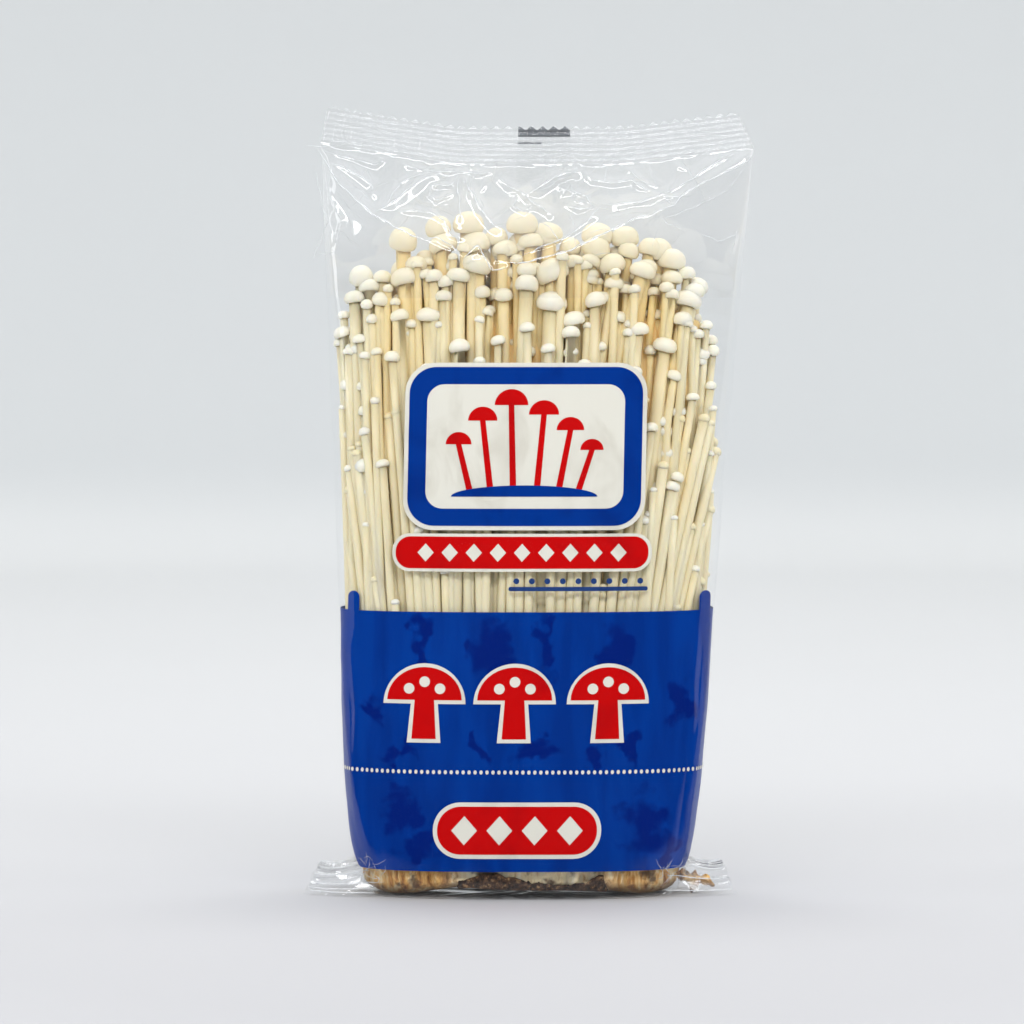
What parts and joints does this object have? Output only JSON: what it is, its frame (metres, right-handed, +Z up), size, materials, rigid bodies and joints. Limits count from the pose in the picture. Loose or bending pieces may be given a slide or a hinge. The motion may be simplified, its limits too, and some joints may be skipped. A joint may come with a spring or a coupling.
{
  "type": "enoki mushroom bunch",
  "caption": "Upright bunch of slender cream mushrooms with small round caps, in a clear film pouch with crimped ends and a flat base.",
  "frame": {"origin": "centre of the footprint on the surface that the pouch stands on", "axes": "+Z up along the stems, the front of the pouch faces -Y, +X to the right seen from the front"},
  "size_m": [0.1059, 0.0386, 0.185],
  "materials": {
    "mushroom_flesh": "smooth, moist, faintly glossy cream flesh",
    "growing_medium": "crumbly, matt, dark brown",
    "clear_film": "clear glossy film, printed in blue, white and red"
  },
  "bodies": {
    "root": {"mushroom_bunch": "mushroom_flesh", "growing_medium": "growing_medium", "film_pouch": "clear_film"}
  },
  "joints": []
}
